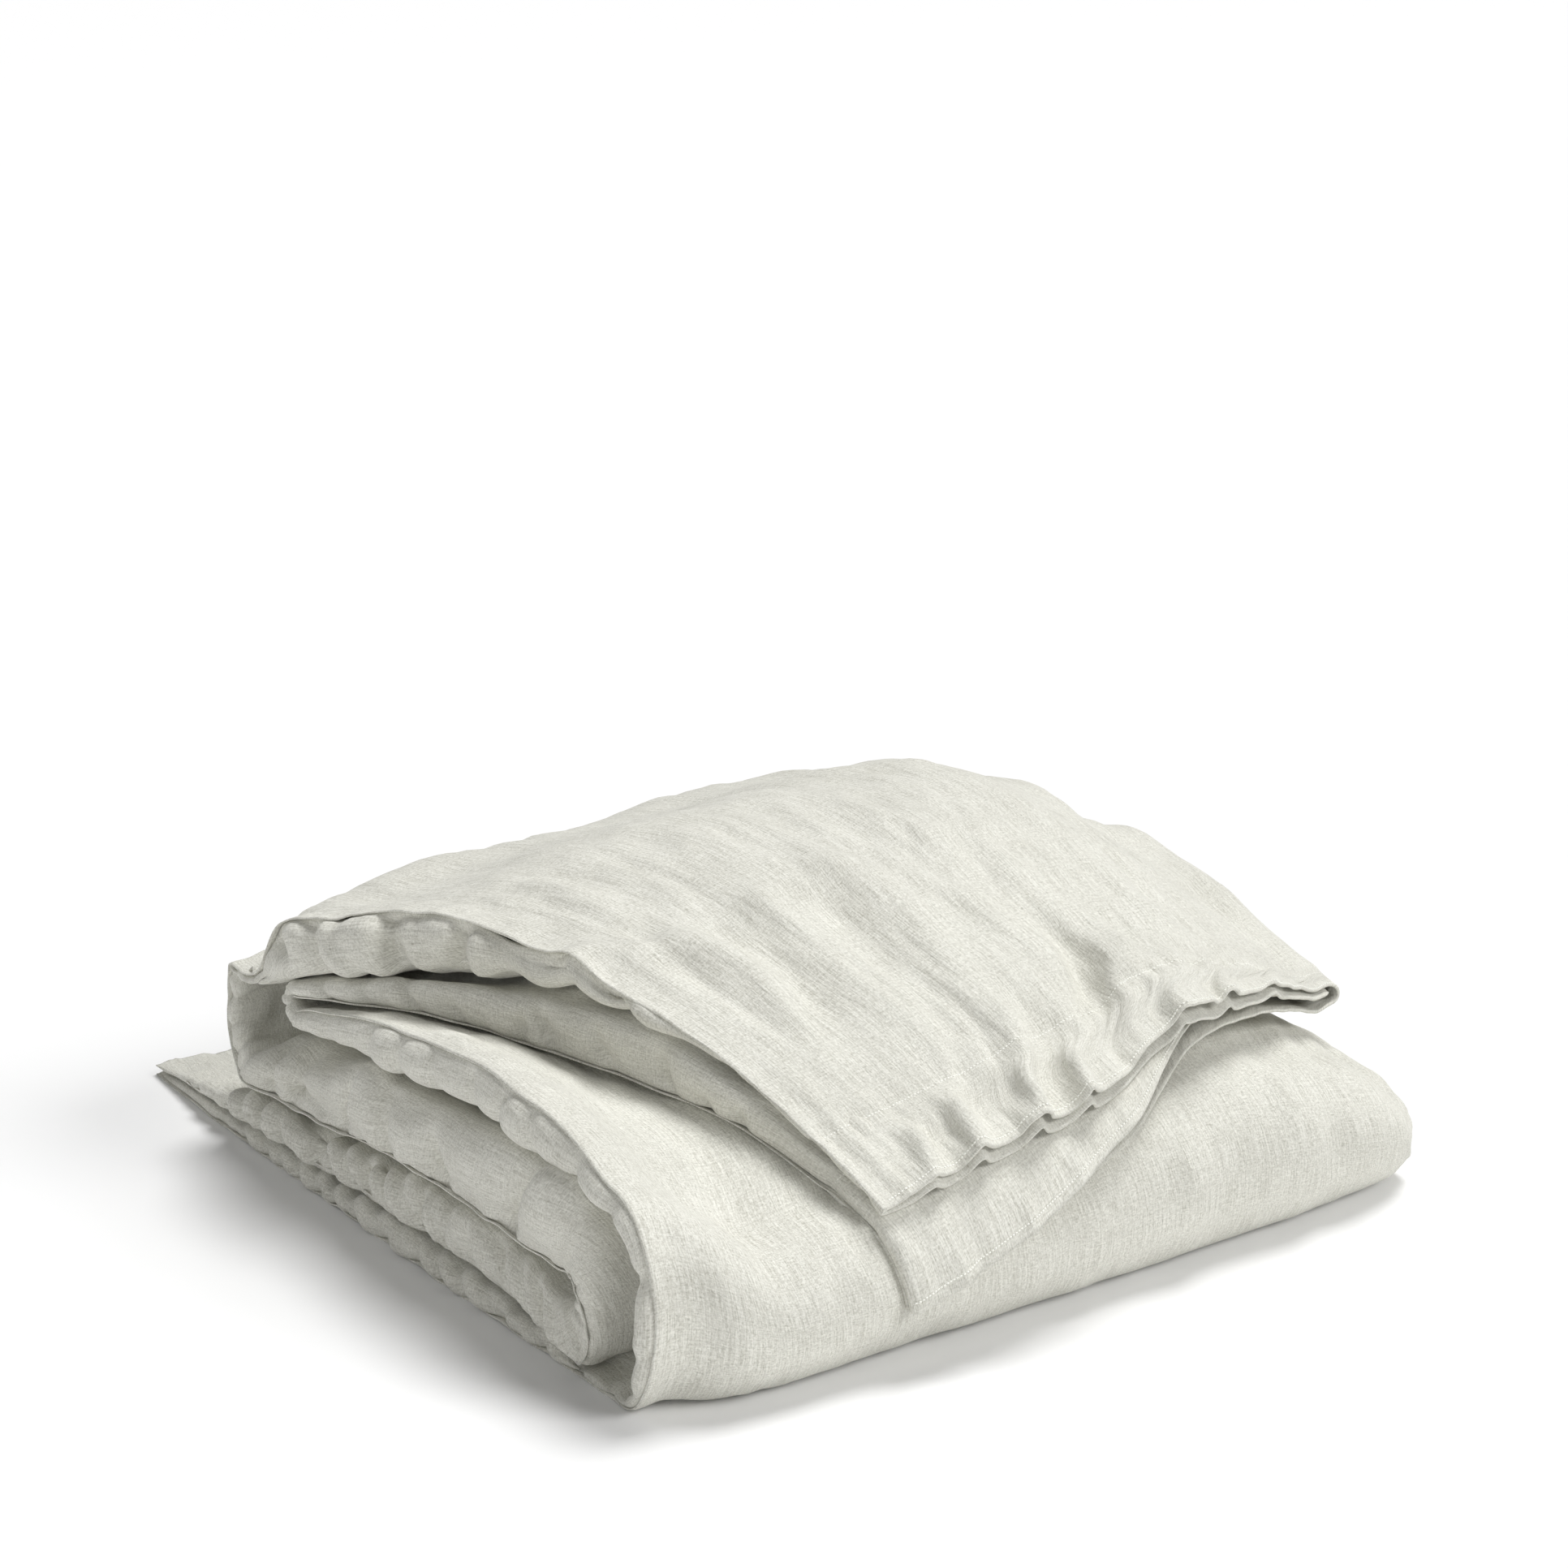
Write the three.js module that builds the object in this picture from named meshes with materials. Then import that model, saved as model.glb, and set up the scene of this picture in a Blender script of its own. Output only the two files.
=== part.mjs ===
// A single duvet cover of washed linen, folded once lengthwise and then in three along its length.
// Millimetres, +Z up. The cover is a bag of two panels sewn together: the outer panel and the inner panel.
// The lengthwise fold is at the packet's right end (+X) and the side seams are at its left end.
// The cloth runs forward along the floor, turns up at the front, runs back, turns up at the back,
// and ends in a loose flap whose open hems lie over the front of the packet.
import * as THREE from "three";

// Driving dimensions.
const PACKET_WIDTH = 636; // left end to the start of the lengthwise fold
const CLOSED_END = 695; // how far back the loose closed end of the bag lies
const SHEET = 1.6; // thickness of one layer of linen
const LAYER_GAP = 5; // middle of one layer to the middle of the next where they lie together
const RUN_GAP = 6; // the same, between two runs of the cloth
const SEAM_SWELL = { reach: 12, slope: 0.6, atBack: 5 }; // how far the cloth swells past the side seams
const FOLD_SWELL = { reach: 17, slope: 0.7, inner: 0.72 }; // how far it swells at the lengthwise fold
const TEARDROP = { opens: 5, fades: 26 }; // how far a tight turn opens, and how soon that fades
const SEAM_SLIT = 0.06; // share of the swelling left open between the two panels at the seam
const SEAM_AT_TOP = 0.12; // share of the swelling above the seam where the outer panel is drawn tight
const SEAM_AT_FOOT = 0.85; // the same where the seam lies at the foot of the swelling

// Heights at the left end, by distance y back from the front corner. low is the top of the lower half
// in the bottom run, between is where the bottom and middle runs meet, high is the top of the upper half
// in the middle run, under is the underside of the lower half above it, packet is the top of the middle run.
const LEFT_END = [
  { y: 0, low: 7, between: 50, high: 118, under: 126, packet: 136 },
  { y: 60, low: 7, between: 54, high: 120, under: 128, packet: 157 },
  { y: 130, low: 18, between: 60, high: 128, under: 136, packet: 174 },
  { y: 220, low: 24, between: 64, high: 126, under: 134, packet: 172 },
  { y: 320, low: 21, between: 61, high: 120, under: 128, packet: 159 },
  { y: 400, low: 19, between: 52, high: 93, under: 122, packet: 144 },
  { y: 450, low: 18, between: 50, high: 85, under: 117, packet: 134 },
  { y: 540, low: 17, between: 47, high: 66, under: 88, packet: 102 },
  { y: 700, low: 8, between: 20, high: 50, under: 58, packet: 64 },
];

// The same heights under the flap, a hand's breadth in from the left end.
const INSIDE = [
  { y: 0, low: 20, between: 42, high: 68, under: 75, packet: 96 },
  { y: 60, low: 22, between: 47, high: 86, under: 93, packet: 128 },
  { y: 130, low: 24, between: 52, high: 98, under: 105, packet: 143 },
  { y: 220, low: 24, between: 54, high: 104, under: 111, packet: 150 },
  { y: 320, low: 21, between: 52, high: 102, under: 109, packet: 145 },
  { y: 400, low: 19, between: 49, high: 96, under: 104, packet: 140 },
  { y: 450, low: 18, between: 47, high: 88, under: 103, packet: 134 },
  { y: 540, low: 17, between: 44, high: 70, under: 88, packet: 106 },
  { y: 700, low: 8, between: 20, high: 50, under: 58, packet: 64 },
];

// The same heights at the right end, where the lengthwise fold presses the layers together.
const RIGHT_END = [
  { y: 0, low: 10, between: 27, high: 42, under: 50, packet: 63 },
  { y: 300, low: 11, between: 29, high: 46, under: 54, packet: 68 },
  { y: 540, low: 11, between: 28, high: 44, under: 52, packet: 66 },
  { y: 700, low: 9, between: 20, high: 36, under: 44, packet: 56 },
];

// Where each layer turns at the front and at the back: start is where its turn begins,
// tip is how far the turn reaches, each at the left end, inside the packet and at the right end.
const TURNS = {
  highOuter: {
    front: { start: [98, 70, 36], tip: [86, 56, 24] },
    back: { start: [530, 532, 535], tip: [561, 563, 560] },
  },
  highInner: {
    front: { start: [82, 56, 34], tip: [61, 16, 4] },
    back: { start: [512, 512, 520], tip: [548, 550, 548] },
  },
  lowInner: {
    front: { start: [28, 10, 26], tip: [-8, -34, -8] },
    back: { start: [440, 462, 480], tip: [465, 490, 512] },
  },
  lowOuter: {
    front: { start: [20, 2, 20], tip: [-26, -48, -20] },
    back: { start: [434, 456, 474], tip: [448, 470, 490] },
  },
};

// The flap, by distance q back from the front corner along the top of the packet. Below zero it hangs
// down the front. lift is its clearance over the packet, low and high are the swell of its two halves,
// edge is where its left edge lies, end is where its right end lies.
const FLAP = [
  { q: 540, lift: 6, low: 5, high: 21, edge: 0, end: 606 },
  { q: 450, lift: 6, low: 13, high: 31, edge: 0, end: 614 },
  { q: 380, lift: 5, low: 25, high: 30, edge: 14, end: 622 },
  { q: 300, lift: 5, low: 37, high: 32, edge: 44, end: 626 },
  { q: 210, lift: 5, low: 42, high: 21, edge: 76, end: 626 },
  { q: 130, lift: 5, low: 41, high: 9, edge: 103, end: 624 },
  { q: 60, lift: 6, low: 24, high: 6, edge: 130, end: 620 },
  { q: 0, lift: 6, low: 14, high: 6, edge: 150, end: 616 },
  { q: -60, lift: 6, low: 8, high: 5, edge: 162, end: 612 },
  { q: -110, lift: 6, low: 6, high: 5, edge: 169, end: 610 },
];
// How much more the flap swells at the crown and at its right end than at its left edge.
const FLAP_SWELL = { crown: 0.66, crownFrom: 0.45, endFrom: 0.65, end: -0.15 };

// Where the two open hems lie, by share of the flap's width from its left edge.
const HEMS = [
  { along: 0, lowHem: -84, highHem: -34 },
  { along: 0.12, lowHem: -67, highHem: -27 },
  { along: 0.27, lowHem: -49, highHem: -24 },
  { along: 0.42, lowHem: -31, highHem: -18 },
  { along: 0.54, lowHem: -14, highHem: -2 },
  { along: 0.65, lowHem: 6, highHem: 6 },
  { along: 0.8, lowHem: 26, highHem: 24 },
  { along: 1, lowHem: 48, highHem: 48 },
];
// The soft waves that run back from the hems: height, length as a share of the flap's width, and reach.
const HEM_WAVE = { height: 5, length: 0.155, reach: 110 };

// The crown of the packet stands a little higher than the left part, most of all at the front.
const CROWN = { at: 0.74, spread: 0.3, all: 0.05, front: 0.3, frontDepth: 90 };
const FRONT_BEND = 60; // where the flap starts to bend down over the front
const SHORTEST_BEND = 25; // length of the bend where the hem ends before the front
const FRONT_CURVE = 54; // radius of the front over which the flap hangs
const UNDER_FLAP_END = 0.93; // share of the packet's width whose height carries the flap's right end
const INSIDE_FROM = 0.13; // share of the packet's width over which its left end passes into its inside
const RIGHT_END_FROM = 0.56; // where the packet starts to round down to its right end

// How the grid of each panel is divided, along the cloth and across it.
const RUN_STEPS = { bottom: 7, frontTurn: 8, middle: 7, backTurn: 6, flap: 9, overFront: 6 };
const ACROSS_STEPS = { swell: 3, half: 10, fold: 6 };

const mix = (a, b, t) => a + (b - a) * t;
const clamp01 = (t) => Math.min(1, Math.max(0, t));
const smooth = (t) => clamp01(t) ** 2 * (3 - 2 * clamp01(t));

// Reads one column of a table on a smooth curve through its rows.
function readTable(table, key, column, at) {
  const rows = table[0][key] < table[table.length - 1][key] ? table : [...table].reverse();
  const last = rows.length - 1;
  const place = Math.min(rows[last][key], Math.max(rows[0][key], at));
  let i = 0;
  while (i < last - 1 && place > rows[i + 1][key]) i += 1;
  const slope = (j) => {
    const a = rows[Math.max(0, j - 1)];
    const b = rows[Math.min(last, j + 1)];
    return (b[column] - a[column]) / (b[key] - a[key]);
  };
  const span = rows[i + 1][key] - rows[i][key];
  const t = (place - rows[i][key]) / span;
  const turn = t * t * (3 - 2 * t);
  const level = mix(rows[i][column], rows[i + 1][column], turn);
  return level + span * t * (1 - t) * (slope(i) * (1 - t) - slope(i + 1) * t);
}

// How much of the inside and of the right end a place has, by share across the packet.
const insideShare = (across) => smooth(across / INSIDE_FROM);
const endShare = (across) =>
  1 - Math.sqrt(1 - clamp01((across - RIGHT_END_FROM) / (1 - RIGHT_END_FROM)) ** 2);

// A value given at the left end, inside and at the right end.
function blend(across, left, inside, right) {
  return mix(mix(left, inside, insideShare(across)), right, endShare(across));
}

// Height of one level of the lower packet.
function height(column, across, y) {
  const values = [LEFT_END, INSIDE, RIGHT_END].map((table) => readTable(table, "y", column, y));
  const nearCrown = Math.exp(-(((across - CROWN.at) / CROWN.spread) ** 2)) * insideShare(across);
  const swell = CROWN.all + CROWN.front * Math.exp(-Math.max(y, 0) / CROWN.frontDepth);
  return blend(across, values[0], values[1] * (1 + nearCrown * swell), values[2]);
}

// Height of a layer in the bottom run or the middle run.
function runHeight(layer, run, across, y) {
  const level = (column) => height(column, across, y);
  const nearTurn = Math.exp(-Math.abs(y - turnStart(layer, run.turn, across)) / TEARDROP.fades);
  const teardrop = (room) => Math.min(TEARDROP.opens, room / 3) * nearTurn;
  if (run.name === "bottom") {
    if (layer === "lowOuter") return SHEET / 2;
    if (layer === "lowInner") return level("low") - LAYER_GAP / 2;
    if (layer === "highInner") return level("low") + LAYER_GAP / 2;
    return level("between") - RUN_GAP / 2 - teardrop(level("between") - level("low"));
  }
  if (layer === "highInner") return level("high");
  if (layer === "lowInner") return level("under");
  const front = run.turn === "front";
  if (layer === "highOuter") {
    const opening = front ? teardrop(level("high") - level("between")) : 0;
    return level("between") + RUN_GAP / 2 + opening;
  }
  return level("packet") - (front ? 0 : teardrop(level("packet") - level("under")));
}

function turnStart(layer, turn, across) {
  return blend(across, ...TURNS[layer][turn].start);
}

function turnTip(layer, turn, across) {
  return blend(across, ...TURNS[layer][turn].tip);
}

// The line that the flap lies on: the top of the packet, and then down over its front.
// Its points, and those of the flap's section, have y and z as their two coordinates.
function flapBase(across, q) {
  const lipStart = turnStart("lowOuter", "front", across);
  const reach = lipStart - turnTip("lowOuter", "front", across);
  if (q >= lipStart) return new THREE.Vector2(q, height("packet", across, q));
  const angle = (lipStart - q) / FRONT_CURVE;
  const middle = height("packet", across, lipStart) / 2;
  return new THREE.Vector2(lipStart - reach * Math.sin(angle), middle + middle * Math.cos(angle));
}

// Where the flap lies on the packet, by distance q and share across the flap.
function flapPoint(layer, acrossFlap, q) {
  const row = (column) => readTable(FLAP, "q", column, q);
  const x = mix(row("edge"), row("end"), acrossFlap);
  const across = Math.min(x / PACKET_WIDTH, UNDER_FLAP_END);
  const base = flapBase(across, q);
  const forward = flapBase(across, q - 4).sub(flapBase(across, q + 4)).normalize();
  const out = new THREE.Vector2(forward.y, -forward.x);
  const toCrown = FLAP_SWELL.crown * (1 - (1 - clamp01(acrossFlap / FLAP_SWELL.crownFrom)) ** 2);
  const toEnd = smooth((acrossFlap - FLAP_SWELL.endFrom) / (1 - FLAP_SWELL.endFrom));
  const swell = 1 + mix(toCrown, FLAP_SWELL.end, toEnd);
  const lowTop = row("lift") + row("low") * swell;
  const offsets = {
    lowOuter: row("lift"),
    lowInner: lowTop,
    highInner: lowTop + LAYER_GAP,
    highOuter: lowTop + LAYER_GAP + row("high") * swell,
  };
  const nearHem = smooth(1 - (q - hemPlace(layer, acrossFlap)) / HEM_WAVE.reach);
  const wave = HEM_WAVE.height * nearHem * (1 + Math.sin((2 * Math.PI * acrossFlap) / HEM_WAVE.length));
  const point = base.addScaledVector(out, offsets[layer] + wave);
  return new THREE.Vector3(x, point.x, point.y);
}

function hemPlace(layer, acrossFlap) {
  const column = layer.startsWith("low") ? "lowHem" : "highHem";
  return readTable(HEMS, "along", column, acrossFlap);
}

// A turn between two runs, as half an ellipse from one layer's end to the next one's start.
function turnPoint(from, to, tip, share) {
  const angle = Math.PI * share;
  const middle = from.clone().lerp(to, (1 - Math.cos(angle)) / 2);
  const start = mix(from.y, to.y, (1 - Math.cos(angle)) / 2);
  middle.y = start + (tip - start) * Math.sin(angle);
  return middle;
}

// A point of one layer, by share across the packet and by step along the cloth.
function layerPoint(layer, across, run, share) {
  const start = (turn) => turnStart(layer, turn, across);
  const tip = (turn) => turnTip(layer, turn, across);
  const onRun = (name, turn, y) =>
    new THREE.Vector3(across * PACKET_WIDTH, y, runHeight(layer, { name, turn }, across, y));
  const bottom = (y) => onRun("bottom", "front", y);
  const halfway = (start("front") + start("back")) / 2;
  const middle = (y) => onRun("middle", y < halfway ? "front" : "back", y);
  if (run === "bottom") return bottom(mix(CLOSED_END, start("front"), share));
  if (run === "frontTurn") {
    return turnPoint(bottom(start("front")), middle(start("front")), tip("front"), share);
  }
  if (run === "middle") return middle(mix(start("front"), start("back"), share));
  const flapStart = flapPoint(layer, across, start("back"));
  if (run === "backTurn") return turnPoint(middle(start("back")), flapStart, tip("back"), share);
  const hem = hemPlace(layer, across);
  const bend = Math.max(hem + SHORTEST_BEND, FRONT_BEND);
  if (run === "flap") return flapPoint(layer, across, mix(start("back"), bend, share));
  return flapPoint(layer, across, mix(bend, hem, share));
}

// The steps along the cloth, from the closed end to the hem.
function stepsAlong() {
  const steps = [];
  for (const [run, count] of Object.entries(RUN_STEPS)) {
    for (let i = 0; i < count; i += 1) steps.push({ run, share: i / count });
  }
  steps.push({ run: "overFront", share: 1 });
  return steps;
}

// How much of the swelling at the left end belongs to the outer panel: the seam lies on the outer panel,
// but in the bottom run of the upper half it lies at the foot of the swelling.
function seamShare(half, step) {
  if (half === "high" && step.run === "bottom") return SEAM_AT_FOOT;
  if (half === "high" && step.run === "frontTurn") {
    return mix(SEAM_AT_FOOT, SEAM_AT_TOP, smooth(step.share));
  }
  return SEAM_AT_TOP;
}

// The steps across a panel: round the seam, across the upper half, round the lengthwise fold,
// back across the lower half and round the other seam.
function stepsAcross() {
  const { swell, half, fold } = ACROSS_STEPS;
  const upper = [];
  for (let i = 0; i < swell; i += 1) upper.push({ kind: "swell", share: i / swell });
  for (let i = 0; i < half; i += 1) upper.push({ kind: "half", share: i / half });
  const lower = upper.map((step) => ({ ...step, half: "low" })).reverse();
  const round = [];
  for (let i = 0; i <= fold; i += 1) round.push({ kind: "fold", share: i / fold });
  return [...upper.map((step) => ({ ...step, half: "high" })), ...round, ...lower];
}

// Part of an oval that joins one point to another and swells out sideways.
function ovalPoint(a, b, sideways, share) {
  const angle = Math.PI * share;
  const point = a.clone().lerp(b, (1 - Math.cos(angle)) / 2);
  point.x += sideways * Math.sin(angle);
  return point;
}

// A point on the middle of a panel's thickness.
function panelPoint(panel, cross, step) {
  const at = (half, side, across) => layerPoint(half + side, across, step.run, step.share);
  if (cross.kind === "half") return at(cross.half, panel, cross.share);
  if (cross.kind === "fold") {
    const a = at("high", panel, 1);
    const b = at("low", panel, 1);
    const swell = Math.min(FOLD_SWELL.reach, a.distanceTo(b) * FOLD_SWELL.slope);
    return ovalPoint(a, b, panel === "Outer" ? swell : swell * FOLD_SWELL.inner, cross.share);
  }
  const outer = at(cross.half, "Outer", 0);
  const inner = at(cross.half, "Inner", 0);
  const seam = seamShare(cross.half, step);
  const share =
    panel === "Outer"
      ? mix(seam - SEAM_SLIT / 2, 0, cross.share)
      : mix(seam + SEAM_SLIT / 2, 1, cross.share);
  const reach = step.run === "backTurn" ? SEAM_SWELL.atBack : SEAM_SWELL.reach;
  return ovalPoint(outer, inner, -Math.min(reach, outer.distanceTo(inner) * SEAM_SWELL.slope), share);
}

// A panel as one closed sheet: its grid of points, thickened along the normals and closed round its rim.
function panelGeometry(panel) {
  const along = stepsAlong();
  const across = stepsAcross();
  const rows = across.length;
  const columns = along.length;
  const middle = across.map((cross) => along.map((step) => panelPoint(panel, cross, step)));
  const points = [];
  for (const side of [1, -1]) {
    for (let i = 0; i < rows; i += 1) {
      for (let j = 0; j < columns; j += 1) {
        const du = middle[Math.min(i + 1, rows - 1)][j].clone().sub(middle[Math.max(i - 1, 0)][j]);
        const dv = middle[i][Math.min(j + 1, columns - 1)].clone().sub(middle[i][Math.max(j - 1, 0)]);
        const normal = dv.cross(du).normalize();
        points.push(middle[i][j].clone().addScaledVector(normal, (side * SHEET) / 2));
      }
    }
  }
  const top = (i, j) => i * columns + j;
  const under = (i, j) => rows * columns + i * columns + j;
  const faces = [];
  const quad = (a, b, c, d) => faces.push(a, b, c, a, c, d);
  for (let i = 0; i < rows - 1; i += 1) {
    for (let j = 0; j < columns - 1; j += 1) {
      quad(top(i, j), top(i, j + 1), top(i + 1, j + 1), top(i + 1, j));
      quad(under(i, j), under(i + 1, j), under(i + 1, j + 1), under(i, j + 1));
    }
  }
  for (let j = 0; j < columns - 1; j += 1) {
    quad(top(0, j), under(0, j), under(0, j + 1), top(0, j + 1));
    quad(top(rows - 1, j), top(rows - 1, j + 1), under(rows - 1, j + 1), under(rows - 1, j));
  }
  for (let i = 0; i < rows - 1; i += 1) {
    quad(top(i, 0), top(i + 1, 0), under(i + 1, 0), under(i, 0));
    quad(top(i, columns - 1), under(i, columns - 1), under(i + 1, columns - 1), top(i + 1, columns - 1));
  }
  const geometry = new THREE.BufferGeometry().setFromPoints(points);
  geometry.setIndex(faces);
  geometry.computeVertexNormals();
  return geometry;
}

const linen = { color: 0xd6d3c7, roughness: 0.92, metalness: 0 };
const outer = new THREE.Mesh(panelGeometry("Outer"), new THREE.MeshStandardMaterial(linen));
outer.name = "outer_panel";
const inner = new THREE.Mesh(panelGeometry("Inner"), new THREE.MeshStandardMaterial(linen));
inner.name = "inner_panel";

// The origin is under the middle of the packet's box, on the surface that it lies on.
const cover = new THREE.Group();
cover.add(outer, inner);
const box = new THREE.Box3().setFromObject(cover);
const centre = box.getCenter(new THREE.Vector3());
cover.position.set(-centre.x, -centre.y, -box.min.z);

export default cover;
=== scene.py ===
# A single duvet cover of washed linen, folded once lengthwise and then in three, lying on a pale
# floor. The cover is a bag of two panels sewn together at the left end of the packet. Lengths in
# the tables are millimetres from the front left corner of the packet; the meshes are in metres.
import math
import bmesh
import bpy
import numpy as np
from mathutils import Matrix, Vector


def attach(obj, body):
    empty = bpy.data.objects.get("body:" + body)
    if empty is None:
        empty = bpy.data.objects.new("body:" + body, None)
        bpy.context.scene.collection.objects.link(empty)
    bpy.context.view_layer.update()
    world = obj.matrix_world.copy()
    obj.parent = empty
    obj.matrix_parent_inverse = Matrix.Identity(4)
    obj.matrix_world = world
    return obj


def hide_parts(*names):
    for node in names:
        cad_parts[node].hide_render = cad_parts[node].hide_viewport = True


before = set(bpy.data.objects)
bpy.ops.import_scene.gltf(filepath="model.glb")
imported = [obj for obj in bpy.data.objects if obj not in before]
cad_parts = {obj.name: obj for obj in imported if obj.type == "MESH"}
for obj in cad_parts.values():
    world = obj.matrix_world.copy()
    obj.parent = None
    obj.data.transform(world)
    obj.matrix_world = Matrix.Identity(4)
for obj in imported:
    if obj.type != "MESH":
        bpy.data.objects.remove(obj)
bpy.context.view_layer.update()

# Sizes of the cloth, in millimetres.
CUT_WIDTH = 1350  # one panel across, from side seam to side seam
CUT_LENGTH = 2000  # one panel along, from its closed end to its open hem
CLOTH = 1.0  # thickness of one layer
HEM_CLOTH = 2.2  # thickness of the turned and stitched hem
HEM_DEPTH = 70  # from the edge of the hem to the row of stitches that holds it
PACKET_WIDTH = 636  # from the side seams at the left to the long fold at the right
CLOSED_END = 695  # how far the closed end lies back from the front
LAYER_GAP = 5  # between the low half and the high half
RUN_GAP = 6  # between the bottom run and the middle run
ORIGIN = np.array((320.133, 313.486, 0))  # where the part's origin lies in the tables' coordinates

# How much of a panel's length lies in each run of the packet, from the closed end to the hem.
RUNS = (("bottom", 620), ("front turn", 170), ("middle", 430), ("back turn", 200),
        ("flap", 470), ("over front", 110))
RUN_BEGINS = {run: sum(length for _, length in RUNS[:i]) for i, (run, _) in enumerate(RUNS)}
GRID = 2.5  # spacing of the fine grid on which the cloth is worked out

# The round forms of the packet, by share of its width or in millimetres.
LEFT_END = 0.13  # the share in which the left end passes into the inside
RIGHT_END = 0.56  # the share at which the right end begins
CROWN_PLACE, CROWN_WIDTH = 0.74, 0.3
CROWN = 0.05  # what the crown adds to the height
FRONT_CROWN, FRONT_CROWN_REACH = 0.3, 90  # what it adds beside that near the front
TEARDROP, TEARDROP_REACH = 5, 26  # how much a turn's loop opens beyond the runs beside it
FRONT_ROUND = 54  # length down the front for each radian of its round
SOFT_STEPS, SOFT_REACH = np.arange(-48, 49, 8), 20  # smooth the line that the flap lies on
BEND, BEND_TO_HEM = 60, 25  # where the flap goes over the front: from the front, from the hem

# The flap's own form.
FLAP_FOLLOWS = 0.93  # the share of the packet's width up to which the flap follows it
CROWN_SWELL, RIGHT_SWELL = 0.56, -0.15  # how much more it swells at its crown, at its right end
END_LIFT, EDGE_DROP, HEM_CURL = 13, 2.5, 3.5  # its right end, its left edge and its low hem
LOW_RELIEF = 0.7  # how much of the flap's creases its low half takes
HIDDEN_TROUGH, HIDDEN_SHARE = -1.5, 0.2  # covered layers take only a share of what lies deeper


def mix(a, b, t):
    return a + (b - a) * t


def smooth(t):
    t = np.clip(t, 0, 1)
    return t * t * (3 - 2 * t)


class Table:
    """A table with named columns, read on a smooth curve through its rows."""

    def __init__(self, names, *rows):
        rows = np.array(sorted(rows), float)
        self.at = rows[:, 0]
        self.columns = dict(zip(names.split()[1:], rows[:, 1:].T))

    def read(self, name, place):
        at, values = self.at, self.columns[name]
        last = len(at) - 1
        place = np.clip(place, at[0], at[-1])
        i = np.clip(np.searchsorted(at, place) - 1, 0, last - 1)
        rows = np.arange(last + 1)
        before, after = np.maximum(rows - 1, 0), np.minimum(rows + 1, last)
        slope = (values[after] - values[before]) / (at[after] - at[before])
        span = at[i + 1] - at[i]
        t = (place - at[i]) / span
        level = mix(values[i], values[i + 1], t * t * (3 - 2 * t))
        return level + span * t * (1 - t) * (slope[i] * (1 - t) - slope[i + 1] * t)


# Heights at the left end, inside the packet and at its right end, by distance back from the front.
LEVELS = (
    Table("y low between high under packet",
          (0, 7, 50, 118, 126, 136), (60, 7, 54, 120, 128, 157), (130, 18, 60, 128, 136, 174),
          (220, 24, 64, 126, 134, 172), (320, 21, 61, 120, 128, 159), (400, 19, 52, 93, 122, 144),
          (450, 18, 50, 85, 117, 134), (540, 16, 42, 66, 88, 102), (700, 3.5, 9, 50, 58, 64)),
    Table("y low between high under packet",
          (0, 20, 42, 68, 75, 96), (60, 22, 47, 86, 93, 128), (130, 24, 52, 98, 105, 143),
          (220, 24, 54, 104, 111, 150), (320, 21, 52, 102, 109, 145), (400, 19, 49, 96, 104, 140),
          (450, 18, 47, 88, 103, 134), (540, 17, 42, 70, 88, 106), (700, 3.5, 9, 50, 58, 64)),
    Table("y low between high under packet",
          (0, 10, 27, 42, 50, 63), (300, 11, 29, 46, 54, 68), (540, 11, 28, 44, 52, 66),
          (700, 4, 10, 36, 44, 56)),
)

# Where each layer turns: the start of its turn and its tip, at the left end, inside and at the
# right end.
TURNS = {
    ("high", "outer"): {"front": ((80, 68, 36), (66, 54, 24)),
                        "back": ((530, 532, 535), (554, 563, 560))},
    ("high", "inner"): {"front": ((62, 52, 34), (36, 14, 4)),
                        "back": ((512, 512, 520), (542, 550, 548))},
    ("low", "inner"): {"front": ((28, 10, 26), (-10, -36, -8)),
                       "back": ((440, 462, 480), (465, 490, 512))},
    ("low", "outer"): {"front": ((20, 2, 20), (-28, -50, -20)),
                       "back": ((434, 456, 474), (448, 470, 490))},
}

# The flap by distance back from the front, below zero down the front: its clearance, the swell of
# its two halves, and where its left edge and right end lie.
FLAP = Table("q lift low high edge end",
             (540, 5, 6, 24, 0, 606), (505, 5, 4, 11, 0, 610), (475, 5, 5, 18, 0, 614),
             (450, 6, 9, 39, 0, 618), (380, 5, 15, 42, 14, 630), (300, 5, 25, 45, 44, 634),
             (210, 5, 36, 28, 76, 630), (130, 5, 39, 11, 103, 614), (60, 6, 24, 6, 130, 608),
             (0, 6, 14, 6, 150, 604), (-60, 6, 8, 5, 162, 600), (-110, 6, 6, 5, 169, 598))
FLAP_WIDTH = 520  # how wide the flap counts where a crease is placed by share of its width
# Where the hems of the two halves lie, by share of the flap's width: distance back from the front.
HEMS = Table("along low high",
             (0, -88, -30), (0.12, -74, -25), (0.27, -57, -21), (0.38, -42, -19), (0.46, -32, -13),
             (0.54, -14, -2), (0.65, 10, 5), (0.8, 26, 22), (1, 46, 46))

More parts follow.
